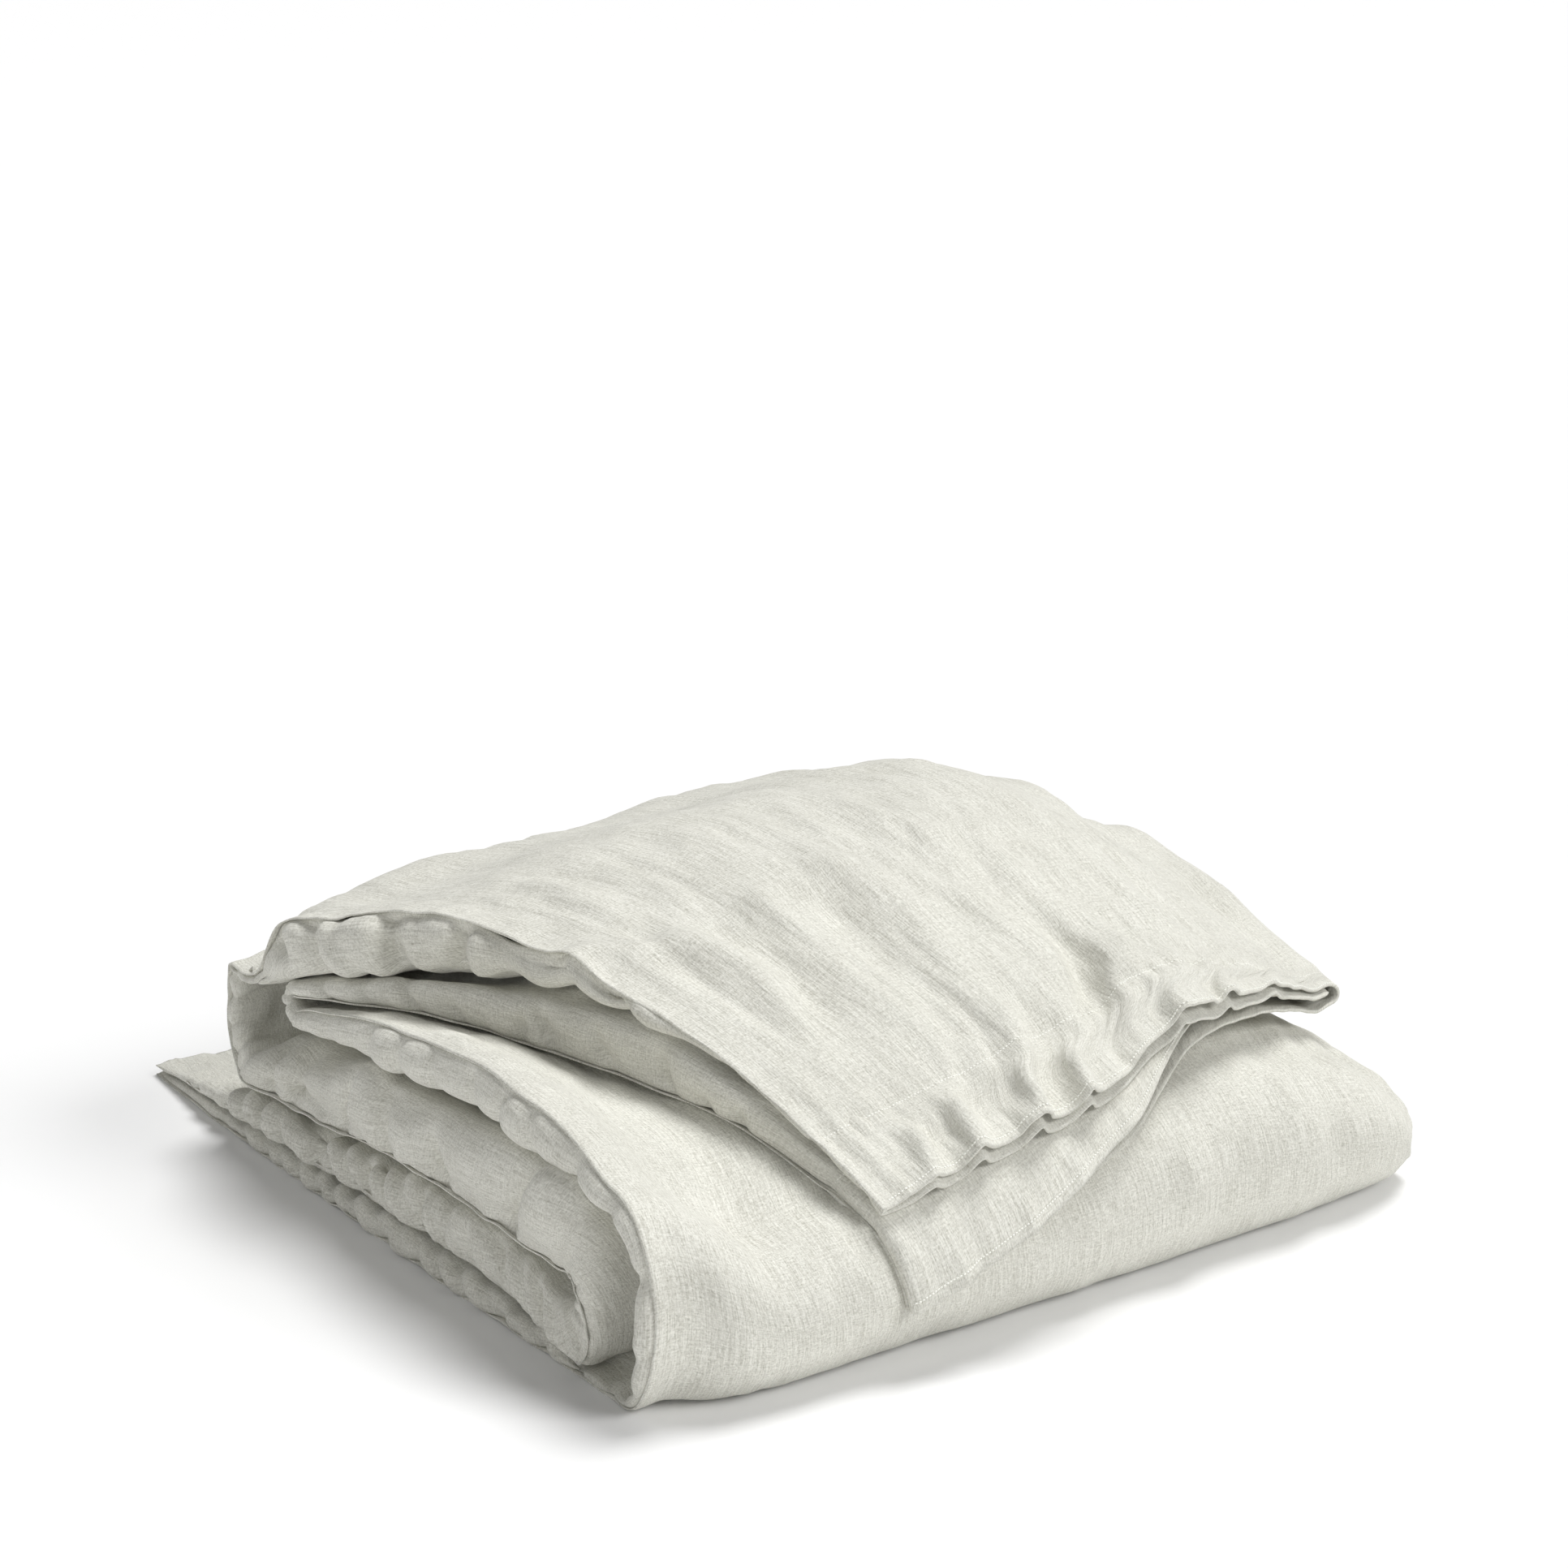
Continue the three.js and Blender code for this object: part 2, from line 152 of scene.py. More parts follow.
# Creases of the flap: the height of each ridge, or the depth of a trough as a negative number, its
# half width, and the places it runs through, by share of the flap's width and distance back from
# the front. The last three are broad.
FLAP_CREASES = (
    (9.5, 12.0, ((0.027, 178), (0.064, 178), (0.104, 169), (0.127, 149), (0.127, 118),
                 (0.114, 83), (0.097, 54))),
    (-5.4, 11.2, ((0.007, 197), (0.043, 192), (0.107, 195), (0.137, 187))),
    (6.1, 12.8, ((0.227, 227), (0.221, 177), (0.217, 132), (0.227, 97), (0.231, 67), (0.211, 44))),
    (-5.4, 12.8, ((0.147, 217), (0.161, 186), (0.161, 128), (0.151, 88), (0.13, 58), (0.11, 25))),
    (6.8, 14.4, ((0.331, 236), (0.348, 180), (0.365, 128), (0.371, 87), (0.351, 50), (0.321, 23))),
    (-4.7, 12.8, ((0.268, 186), (0.284, 134), (0.298, 89), (0.281, 54), (0.254, 22))),
    (4.7, 7.2, ((0.482, 291), (0.472, 238), (0.485, 207), (0.502, 183), (0.488, 147),
                (0.512, 126))),
    (-3.4, 7.2, ((0.431, 244), (0.438, 194), (0.462, 165), (0.455, 134))),
    (3.4, 6.4, ((0.388, 154), (0.428, 140), (0.452, 110), (0.462, 81))),
    (-12.0, 11.0, ((0.53, 105), (0.54, 72), (0.515, 50), (0.44, 34))),
    (9.5, 12.0, ((0.572, 85), (0.585, 57), (0.545, 33), (0.485, -2))),
    (7.4, 10.4, ((0.371, 71), (0.351, 45), (0.324, 16), (0.304, -19))),
    (5.4, 12.8, ((0.719, 106), (0.742, 74), (0.729, 44), (0.706, 19))),
    (-4.1, 11.2, ((0.642, 97), (0.642, 59), (0.632, 36), (0.622, 14))),
    (4.1, 8.0, ((0.144, 386), (0.197, 362), (0.177, 291), (0.187, 243))),
    (3.4, 7.2, ((0.077, 407), (0.08, 356), (0.067, 293), (0.064, 246))),
    (-3.4, 8.0, ((0.14, 354), (0.124, 286), (0.134, 240), (0.147, 204))),
    (3.4, 7.2, ((0.291, 334), (0.321, 293), (0.351, 253), (0.368, 210))),
    (8.0, 34.0, ((0.02, 466), (0.13, 455), (0.28, 440))),
    (-7.0, 45.0, ((0.2, 448), (0.35, 440), (0.5, 428))),
    (14.0, 36.0, ((0.74, 294), (0.94, 282), (1.14, 268))),
)
# Folds of the upper hems: seven narrow flutes, a broad ridge, a broad trough and a fold at the side
# seam.
HEM_FLUTES = (
    (14.5, 9.0, ((0.167, -25), (0.181, -8), (0.197, 28))),
    (16.0, 9.0, ((0.274, -23), (0.288, -7), (0.308, 27))),
    (14.5, 8.4, ((0.368, -23), (0.375, -10), (0.395, 25))),
    (10.5, 7.4, ((0.08, -30), (0.104, -7), (0.117, 19))),
    (9.5, 6.6, ((0.592, -2), (0.599, 29), (0.599, 42))),
    (9.0, 6.6, ((0.709, 11), (0.722, 35), (0.722, 48))),
    (6.0, 7.2, ((0.833, 24), (0.906, 67), (0.933, 101))),
    (10.0, 20.0, ((0.625, 2), (0.64, 34), (0.635, 80))),
    (-7.5, 19.0, ((0.47, -12), (0.49, 20), (0.53, 66))),
    (10.0, 14.0, ((0.0, 196), (0.04, 188), (0.09, 176))),
)
# Creases of each panel by their places on the flat cloth, across and along, in millimetres.
PANEL_CREASES = {
    "outer": (
        (-2.2, 5, ((1030, 765), (1018, 728), (1010, 700), (1007, 670), (1010, 625))),
        (1.6, 8, ((1042, 765), (1030, 728), (1022, 700), (1019, 670), (1022, 625))),
        (-3, 16, ((1300, 815), (1275, 800), (1245, 790))),
    ),
    "inner": (
        (-10, 16, ((12, 1702), (40, 1697), (85, 1688))),
        (-5, 10, ((12, 1570), (50, 1576), (85, 1582))),
        (-4, 9, ((12, 1640), (50, 1636), (85, 1630))),
    ),
}
# Small creases at the lower hems.
LOW_HEM_CREASES = (
    (4, 7, ((0.07, -92), (0.09, -72), (0.1, -50))),
    (-1.5, 6, ((0.1, -88), (0.12, -70), (0.13, -50))),
    (3.5, 8, ((0.2, -75), (0.215, -58), (0.225, -38))),
    (3.5, 8, ((0.31, -60), (0.325, -42), (0.335, -25))),
    (3, 8, ((0.43, -42), (0.44, -25), (0.45, -10))),
)


def inside_share(across):
    """0 at the left end of the packet, 1 inside it."""
    return smooth(across / LEFT_END)


def blend(across, left, inside, right):
    """Passes from the value at the left end over the one inside to the one at the right end."""
    t = np.clip((across - RIGHT_END) / (1 - RIGHT_END), 0, 1)
    return mix(mix(left, inside, inside_share(across)), right, 1 - np.sqrt(1 - t * t))


def height(level, across, y):
    """Height of one level of the lower packet."""
    left, inside, right = (table.read(level, y) for table in LEVELS)
    near_crown = np.exp(-((across - CROWN_PLACE) / CROWN_WIDTH) ** 2) * inside_share(across)
    crown = CROWN + FRONT_CROWN * np.exp(-np.maximum(y, 0) / FRONT_CROWN_REACH)
    return blend(across, left, inside * (1 + near_crown * crown), right)


def turn_start(layer, turn, across):
    """How far back from the front one of a layer's turns starts."""
    return blend(across, *TURNS[layer][turn][0])


def run_height(layer, run, turn, across, y):
    """Height of a layer in the bottom run or the middle run, as it is beside one of its turns."""
    def teardrop(room):
        near = np.exp(-np.abs(y - turn_start(layer, turn, across)) / TEARDROP_REACH)
        return np.minimum(TEARDROP, room / 3) * near

    low, between = height("low", across, y), height("between", across, y)
    if run == "bottom":
        if layer == ("low", "outer"):
            return np.full(np.shape(low), CLOTH / 2)
        if layer == ("low", "inner"):
            return low - LAYER_GAP / 2
        if layer == ("high", "inner"):
            return low + LAYER_GAP / 2
        return between - RUN_GAP / 2 - teardrop(between - low)
    high, under = height("high", across, y), height("under", across, y)
    if layer == ("high", "inner"):
        return high
    if layer == ("low", "inner"):
        return under
    if layer == ("high", "outer"):
        return between + RUN_GAP / 2 + (teardrop(high - between) if turn == "front" else 0)
    packet = height("packet", across, y)
    return packet - (0 if turn == "front" else teardrop(packet - under))


def flap_base(across, q):
    """The line that the flap lies on: its distance back, its height and its direction outwards."""
    start = blend(across, *TURNS["low", "outer"]["front"][0])
    reach = start - blend(across, *TURNS["low", "outer"]["front"][1])
    middle = height("packet", across, start) / 2
    weights = np.exp(-0.5 * (SOFT_STEPS / SOFT_REACH) ** 2)
    back = up = slope_back = slope_up = 0
    for step, weight in zip(SOFT_STEPS, weights / weights.sum()):
        angle = (start - q - step) / FRONT_ROUND
        down = q + step < start
        y = np.where(down, start - reach * np.sin(angle), q + step)
        z = np.where(down, middle + middle * np.cos(angle), height("packet", across, q + step))
        back, up = back + weight * y, up + weight * z
        slope_back, slope_up = slope_back + weight * step * y, slope_up + weight * step * z
    length = np.hypot(slope_back, slope_up)
    return back, up, -slope_up / length, slope_back / length


def hem_place(layer, across_flap):
    """Where a layer's hem lies: the hidden hem of each half hangs a little lower than the other."""
    uneven = {("low", "outer"): mix(-4, 5, smooth(across_flap * 2)), ("high", "inner"): 3}
    longer = uneven.get(layer, 0)
    return HEMS.read(layer[0], across_flap) - longer * smooth(across_flap / 0.1)


def crease(lines, x, y, to_end, scale=(FLAP_WIDTH, 1)):
    """Soft ridges and troughs along lines; to_end keeps their full height at the first place."""
    relief = np.zeros(np.broadcast(x, y).shape)
    for rise, width, line in lines:
        line = np.array(line) * scale
        steps = np.hypot(*np.diff(line, axis=0).T)
        begins = np.concatenate(((0,), np.cumsum(steps)))
        nearest, place = np.full(relief.shape, 1e9), np.zeros(relief.shape)
        for (x0, y0), (x1, y1), step, begin in zip(line[:-1], line[1:], steps, begins):
            t = np.clip(((x - x0) * (x1 - x0) + (y - y0) * (y1 - y0)) / step ** 2, 0, 1)
            away = np.hypot(x - mix(x0, x1, t), y - mix(y0, y1, t))
            closer = away < nearest
            nearest = np.where(closer, away, nearest)
            place = np.where(closer, begin + t * step, place)
        share = place / begins[-1]
        fade = (1 if to_end else smooth(share / 0.3)) * smooth((1 - share) / 0.5)
        relief += rise * fade * np.exp(-(nearest / width) ** 2)
    return relief


def flap_relief(layer, across_flap, q):
    """What the creases add to the height of a layer of the flap; covered layers follow less."""
    x = across_flap * FLAP_WIDTH
    relief = crease(FLAP_CREASES, x, q, False)
    if layer[0] == "high":
        relief = relief + crease(HEM_FLUTES, x, q, True)
    else:
        clear = 1 - smooth((q - hem_place(("high", "outer"), across_flap)) / 20 + 0.5)
        relief = LOW_RELIEF * relief + crease(LOW_HEM_CREASES, x, q, True) * clear
    if layer == ("high", "outer"):
        return relief
    deeper = HIDDEN_TROUGH + HIDDEN_SHARE * (relief - HIDDEN_TROUGH)
    return np.where(relief > HIDDEN_TROUGH, relief, deeper)


def flap_point(layer, across_flap, q):
    """Points of a layer of the flap, by share of its width and distance back from the front."""
    x = mix(FLAP.read("edge", q), FLAP.read("end", q), across_flap)
    across = np.minimum(x / PACKET_WIDTH, FLAP_FOLLOWS)
    back, up, out_y, out_z = flap_base(across, q)
    to_crown = CROWN_SWELL * (1 - (1 - np.clip(across_flap / 0.45, 0, 1)) ** 2)
    swell = 1 + mix(to_crown, RIGHT_SWELL, smooth((across_flap - 0.65) / 0.35))
    to_end = smooth((across_flap - 0.45) / 0.4) * smooth((150 - q) / 120)
    near_edge = 1 - smooth(across_flap / 0.25)
    lift = FLAP.read("lift", q) + END_LIFT * to_end - EDGE_DROP * near_edge
    if layer[0] == "low":
        lift = lift + HEM_CURL * smooth((hem_place(layer, across_flap) + 16 - q) / 16)
    low_top = lift + FLAP.read("low", q) * swell * (1 - 0.55 * to_end)
    offset = {
        ("low", "outer"): lift,
        ("low", "inner"): low_top,
        ("high", "inner"): low_top + LAYER_GAP,
        ("high", "outer"): low_top + LAYER_GAP + FLAP.read("high", q) * swell,
    }[layer] + flap_relief(layer, across_flap, q)
    return joined(x, back + out_y * offset, up + out_z * offset)


def joined(x, y, z):
    """Points from their three coordinates."""
    return np.stack(np.broadcast_arrays(x, y, z), -1)


def turn_point(start, end, tip, share, power):
    """A turn between two runs, as half an oval; a power below 1 makes it squarer."""
    rise = (1 - np.cos(math.pi * share)) / 2
    point = mix(start, end, rise[..., None])
    point[..., 1] += (tip - point[..., 1]) * np.sin(math.pi * np.clip(share, 0, 1)) ** power
    return point


def layer_point(layer, across, along):
    """Points of one layer: rows for the shares across the packet, columns for the lengths along."""
    across = np.atleast_1d(across).astype(float)[:, None]
    front, back = turn_start(layer, "front", across), turn_start(layer, "back", across)
    front_tip, back_tip = (blend(across, *TURNS[layer][turn][1]) for turn in ("front", "back"))
    hem = hem_place(layer, across)
    bend = np.maximum(hem + BEND_TO_HEM, BEND)

    def bottom(y):
        return joined(across * PACKET_WIDTH, y, run_height(layer, "bottom", "front", across, y))

    def middle(y):
        near_front = run_height(layer, "middle", "front", across, y)
        near_back = run_height(layer, "middle", "back", across, y)
        share = smooth((y - front) / (back - front))
        return joined(across * PACKET_WIDTH, y, mix(near_front, near_back, share))

    points = np.zeros((len(across), len(along), 3))
    for run, length in RUNS:
        begins = RUN_BEGINS[run]
        here = (along >= begins) & (along <= begins + length)
        share = ((along[here] - begins) / length)[None]
        if run == "bottom":
            points[:, here] = bottom(mix(CLOSED_END, front, share))
        elif run == "front turn":
            power = mix(0.66, 1, smooth(2 * share)) if layer[0] == "low" else 1
            points[:, here] = turn_point(bottom(front), middle(front), front_tip, share, power)
        elif run == "middle":
            points[:, here] = middle(mix(front, back, share))
        elif run == "back turn":
            square = 0.4 * (1 - inside_share(across)) * smooth(2 * share - 0.8)
            power = 1 - square if layer[0] == "high" else 1
            top = flap_point(layer, across, back)
            points[:, here] = turn_point(middle(back), top, back_tip, share, power)
        elif run == "flap":
            points[:, here] = flap_point(layer, across, mix(back, bend, share))
        else:
            points[:, here] = flap_point(layer, across, mix(bend, hem, share))
    return points


def seam_share(half):
    """Where the seam lies on the swelling at the left end, from the outer panel to the inner."""
    if half == "low":
        return np.full(ALONG.shape, 0.12)
    return mix(0.85, 0.12, smooth((ALONG - RUN_BEGINS["front turn"]) / dict(RUNS)["front turn"]))


def spread_evenly(section, count):
    """Sections of the packet, one for each place along the cloth, with their points set evenly."""
    steps = np.linalg.norm(np.diff(section, axis=0), axis=2)
    reach = np.concatenate((np.zeros((1, steps.shape[1])), np.cumsum(steps, axis=0)))
    reach /= reach[-1]
    shares = np.linspace(0, 1, count)
    even = np.empty((count,) + section.shape[1:])
    for column in range(section.shape[1]):
        for axis in range(3):
            even[:, column, axis] = np.interp(shares, reach[:, column], section[:, column, axis])
    return even


def soften(field, sigma, axis):
    """A soft filter along one axis that keeps the ends where they are."""
    reach = int(math.ceil(3 * sigma))
    weights = np.exp(-0.5 * (np.arange(-reach, reach + 1) / sigma) ** 2)
    weights /= weights.sum()
    field = np.moveaxis(field, axis, 0)
    first, last = field[:1], field[-1:]
    before, after = 2 * first - field[reach:0:-1], 2 * last - field[-2:-reach - 2:-1]
    padded = np.concatenate((before, field, after))
    softened = sum(weight * padded[i:i + len(field)] for i, weight in enumerate(weights))
    return np.moveaxis(softened, 0, axis)


ALONG = np.arange(0, CUT_LENGTH + GRID / 2, GRID)
ACROSS = np.arange(0, CUT_WIDTH + GRID / 2, GRID)
WIDER_THAN_PANEL = 4000


def random_field(seed, cell_across, cell_along):
    """Soft random hills and hollows, as far apart as the two cell sizes say, from about -1 to 1."""
    count = (int(ACROSS[-1] / cell_across) + 3, int(ALONG[-1] / cell_along) + 3)
    knots = np.random.default_rng(seed).uniform(-1, 1, count)
    i, u = np.divmod(ACROSS / cell_across, 1)
    j, v = np.divmod(ALONG / cell_along, 1)
    i, j, u, v = i.astype(int), j.astype(int), smooth(u)[:, None], smooth(v)[None]
    near, far = knots[i], knots[i + 1]
    return mix(mix(near[:, j], near[:, j + 1], v), mix(far[:, j], far[:, j + 1], v), u)


def random_line(seed, cell):
    """The same along the cloth alone."""
    return random_field(seed, WIDER_THAN_PANEL, cell)[0]


def wrinkles(seed, cell_across, cell_along):
    """Sharp ridges between soft hollows, in the shape of crumpled cloth, from about -1 to 1."""
    return 1 - 3 * np.sqrt(random_field(seed, cell_across, cell_along) ** 2 + 0.01)


# The rounds where one layer passes into the next: how far the cloth swells out, in millimetres.
SEAM_SWELL, TURN_SEAM_SWELL = 12.0, 5.0  # at the left end, and there in the back turn
FOLD_SWELL, INNER_FOLD_SWELL = 17, 0.72  # at the long fold; the inner panel's share of that
SEAM_LIP = 2.5  # how far each panel stands back from the seam


def seam_round(number, half, panel):
    """A panel's part of the swelling at the left end, from the seam to where its layer begins."""
    outer, inner = (layer_point((half, side), 0, ALONG)[0] for side in ("outer", "inner"))
    apart = np.linalg.norm(outer - inner, axis=1)
    in_turn = (ALONG > RUN_BEGINS["back turn"]) & (ALONG < RUN_BEGINS["flap"])
    reach = soften(np.where(in_turn, TURN_SEAM_SWELL, SEAM_SWELL), 8, 0)
    reach = reach * (1 + 0.3 * random_line(5 + number, 70))
    reach *= 1 - 0.75 * smooth((ALONG - 1820) / 120)
    sideways = -np.minimum(reach, apart * 0.6)
    seam = seam_share(half) + 0.04 * random_line(15 + number, 45)
    lip = np.minimum(SEAM_LIP / np.maximum(apart * 1.4, 1), 0.2)
    steps = np.linspace(0, 1, 26)[:, None]
    share = mix(seam + lip, 0, steps) if panel == "outer" else mix(seam - lip, 1, steps)
    points = mix(outer[None], inner[None], ((1 - np.cos(math.pi * share)) / 2)[..., None])
    points[..., 0] += sideways * np.sin(math.pi * share)
    return points


def panel_rest(panel):
    """The panel's smooth form on the fine grid, before its creases."""
    sections = {}
    for number, half in enumerate(("high", "low")):
        layer = layer_point((half, panel), np.linspace(0, 1, 140), ALONG)
        sections[half] = np.concatenate((seam_round(number, half, panel)[:-1], layer))
    high, low = sections["high"][-1], sections["low"][-1]
    swell = np.minimum(FOLD_SWELL, np.linalg.norm(high - low, axis=1) * 0.7)
    swell = swell * (1 if panel == "outer" else INNER_FOLD_SWELL)
    steps = np.linspace(0, 1, 28)[1:-1, None]
    fold = mix(high[None], low[None], ((1 - np.cos(math.pi * steps)) / 2)[..., None])
    fold[..., 0] += swell * np.sin(math.pi * steps)
    section = np.concatenate((sections["high"], fold, sections["low"][::-1]))
    rest = spread_evenly(section, len(ACROSS))
    return soften(soften(rest, 2.0, 1), 1.4, 0)


def outward(points, panel):
    """Directions out of the bag, across each point of a grid."""
    normals = np.cross(np.gradient(points, axis=1), np.gradient(points, axis=0))
    normals /= np.maximum(np.linalg.norm(normals, axis=2, keepdims=True), 1e-9)
    return normals if panel == "outer" else -normals


# How the cloth puckers along the side seams. For each half, up to a length along the cloth: the
# panel that shows, the depth of its folds, how close and how far apart they lie, how far they reach
# from the seam, how wide they are, and how much the cloth swells between them.
GATHERS = {
    "high": ((620, "outer", 13.0, 22, 55, 90, 5.5, 4.0), (790, "outer", 10.0, 12, 26, 60, 4.5, 3.0),
             (1220, "inner", 18.0, 30, 80, 120, 8.0, 12.0),
             (1420, "inner", 13.0, 30, 60, 90, 8.0, 5.0),
             (2000, "inner", 20.0, 36, 80, 85, 8.0, 9.0)),
    "low": ((620, "inner", 9.5, 24, 56, 60, 5.5, 4.0), (790, "inner", 7.0, 26, 56, 70, 6.5, 4.0),
            (1130, "inner", 8.5, 26, 60, 74, 6.5, 5.0), (1420, "inner", 4.0, 30, 60, 50, 7.0, 4.0),
            (2000, "inner", 11.0, 26, 60, 64, 5.5, 4.0)),
}
FINE_FOLDS = {"high": (2.6, 9, 28), "low": (1.3, 16, 44)}  # depth, how close and how far apart
FINE_REACH, FINE_WIDTH = 46, 4.0
FULL_DEPTH = {"high": 8, "low": 14}  # how far from the seam the folds are at their deepest
SEAM_PUCKER = {"high": (1.1, 17), "low": (0.77, 34)}  # in the seam itself: height, how far apart
RUFFLES = {"high": 6.5, "low": 3.2}  # height of the ruffles under the packet
RUFFLE_PITCH = 33
FOLD_ROOM = 80  # how far along the cloth, to each side, a fold is worked out
BAND = np.arange(0, 140, GRID)  # distances from a side seam


def seam_room(half):
    """How far apart the two panels lie at a side seam."""
    outer, inner = (layer_point((half, side), 0, ALONG)[0] for side in ("outer", "inner"))
    return np.linalg.norm(outer - inner, axis=1)


def add_folds(relief, seed, stretch, depth, spacing, reach, width, onset):
    """Short folds inwards from a side seam: sharp valleys, some with one bank above the other."""
    random = np.random.default_rng(seed)
    away = BAND[:, None]
    place = stretch[0] + random.uniform(0, spacing[1])
    while place < stretch[1]:
        deep, far = depth * random.uniform(0.4, 1), reach * random.uniform(0.4, 1)
        slant, bank = random.uniform(-0.4, 0.4), random.choice((-0.3, 0, 0.3))
        first, last = max(0, int((place - FOLD_ROOM) / GRID)), int((place + FOLD_ROOM) / GRID)
        columns = slice(first, last)
        beside = ALONG[None, columns] - place - slant * away
        wide = width * (0.7 + away / reach)
        dip = np.exp(1 - np.sqrt(1 + (beside / wide) ** 2 * 3))
        banks = bank * np.tanh(beside / wide) * np.exp(-(beside / (4 * wide)) ** 2)
        strength = deep * smooth((away + 1) / onset) * (1 - smooth((away / far - 0.4) / 0.6))
        relief[:, columns] += strength * (banks - dip)
        place += random.uniform(*spacing)


def ruffles(number):
    """The slanting ruffles of a side seam under the packet: round ridges, sharp valleys."""
    place = (ALONG + 26 * random_line(31 + number, 60) + 0.55 * BAND[:, None]) / RUFFLE_PITCH
    high = 1 + 0.7 * random_line(33 + number, 45)
    here = smooth((ALONG - 90) / 80) * (1 - smooth((ALONG - 590) / 60))
    across_band = mix(0.2, 1, smooth(BAND / 10)) * np.exp(-(BAND / 55) ** 2)
    round_ridges = 1.7 * np.sqrt(np.cos(math.pi * place) ** 2 + 0.02) - 1
    return round_ridges * high * here * across_band[:, None]


def gathers(panel):
    """The puckers along both side seams of a panel."""
    relief = np.zeros((len(ACROSS), len(ALONG)))
    for number, half in enumerate(("high", "low")):
        band, begins, onset = np.zeros((len(BAND), len(ALONG))), 0, FULL_DEPTH[half]
        fine_depth, *fine_spacing = FINE_FOLDS[half]
        for index, (ends, main, depth, *spacing, reach, width, swell) in enumerate(GATHERS[half]):
            seed, stretch = 100 * number + 10 * index, (begins, ends)
            if panel == main:
                add_folds(band, seed + 1, stretch, depth, spacing, reach, width, onset)
                here = smooth((ALONG - begins + 20) / 40) * smooth((ends + 20 - ALONG) / 40)
                soft = random_field(seed + 2, 70, 0.6 * sum(spacing))[:len(BAND)]
                near = smooth((BAND - 2) / 12) * (1 - smooth((BAND / reach - 0.5) / 0.5))
                band += swell * here * near[:, None] * soft
            add_folds(band, seed + 3, stretch, fine_depth, fine_spacing, FINE_REACH, FINE_WIDTH,
                      onset)
            begins = ends
        band *= np.clip(seam_room(half) / 24 - 0.1, 0.1, 1)
        high, apart = SEAM_PUCKER[half]
        band += high * random_line(number, apart) * np.exp(-BAND[:, None] / 12)
        band += RUFFLES[half] * ruffles(number)
        if half == "high":
            relief[:len(BAND)] += band
        else:
            relief[-len(BAND):] += band[::-1]
    return relief


def shown_share(panel):
    """1 where a panel shows, less where it lies hidden between other layers."""
    across, along = ACROSS[:, None], ALONG[None]
    seams = 1 - smooth((np.minimum(across, CUT_WIDTH - across) - 70) / 60)
    if panel == "inner":
        return mix(0.15, 1, seams)
    low_half = smooth((across - 640) / 60)
    flap = (1 - low_half) * smooth((along - 1180) / 60)
    front = low_half * smooth((along - 630) / 70) * (1 - smooth((along - 960) / 90))
    return mix(0.2, 1, np.maximum(seams, np.maximum(flap, front)))


# The crumple: its height, the form it has, its own seed, how far apart its hills lie across and
# along the cloth, and how much of it the inner panel has.
CRUMPLE = (
    (1.8, random_field, 0, 60, 130, 1), (0.4, random_field, 2, 11, 24, 1),
    (1.5, wrinkles, 5, 48, 140, 1), (-1.2, wrinkles, 6, 36, 100, 1),
    (0.8, wrinkles, 7, 18, 44, 0.3), (-0.6, wrinkles, 8, 15, 32, 0.3),
)
PANEL_SEEDS = {"outer": 40, "inner": 60}
SEAM_RIDGE = {"outer": 0.9, "inner": -1.5}  # each panel's rise at the side seams
STITCH_GROOVE = 1.1  # how deep the hem's stitches pull the cloth in


def panel_form(panel):
    """The panel's points on the fine grid with its gathers, creases and crumple."""
    rest, seed, shown_here = panel_rest(panel), PANEL_SEEDS[panel], shown_share(panel)
    crumple = sum(rise * (1 if panel == "outer" else inner) * kind(seed + step, across, along)
                  for rise, kind, step, across, along, inner in CRUMPLE)
    away = np.minimum(ACROSS, CUT_WIDTH - ACROSS)[:, None]
    to_hem, to_stitches = ALONG[None] - CUT_LENGTH, ALONG[None] - (CUT_LENGTH - HEM_DEPTH)
    creases = crease(PANEL_CREASES[panel], ACROSS[:, None], ALONG[None], True, (1, 1))
    relief = gathers(panel) + creases
    relief += crumple * shown_here * smooth((away - 2) / 16)
    relief += SEAM_RIDGE[panel] * np.exp(-(away / 4) ** 2)
    relief -= STITCH_GROOVE * np.exp(-(to_stitches / 4) ** 2)
    relief += 1.4 * wrinkles(seed + 3, 11, 50) * np.exp(-(to_stitches / 16) ** 2) * shown_here
    relief += 0.7 * random_field(seed + 4, 10, 30) * np.exp(-(to_hem / 14) ** 2)
    form = rest + outward(rest, panel) * relief[..., None]
    form[..., 2] = np.maximum(form[..., 2], CLOTH / 2)
    return form


def sample(field, across, along):
    """Reads a field on the fine grid at any place, given in millimetres of flat cloth."""
    u = np.clip(across / GRID, 0, field.shape[0] - 1.0001)
    v = np.clip(along / GRID, 0, field.shape[1] - 1.0001)
    i, j = u.astype(int), v.astype(int)
    u, v = (u - i)[..., None], (v - j)[..., None]
    near, far = mix(field[i, j], field[i, j + 1], v), mix(field[i + 1, j], field[i + 1, j + 1], v)
    return mix(near, far, u)


def link(mesh, name):
    """Puts a mesh into the scene as an object at the origin."""
    piece = bpy.data.objects.new(name, mesh)
    bpy.context.scene.collection.objects.link(piece)
    return piece


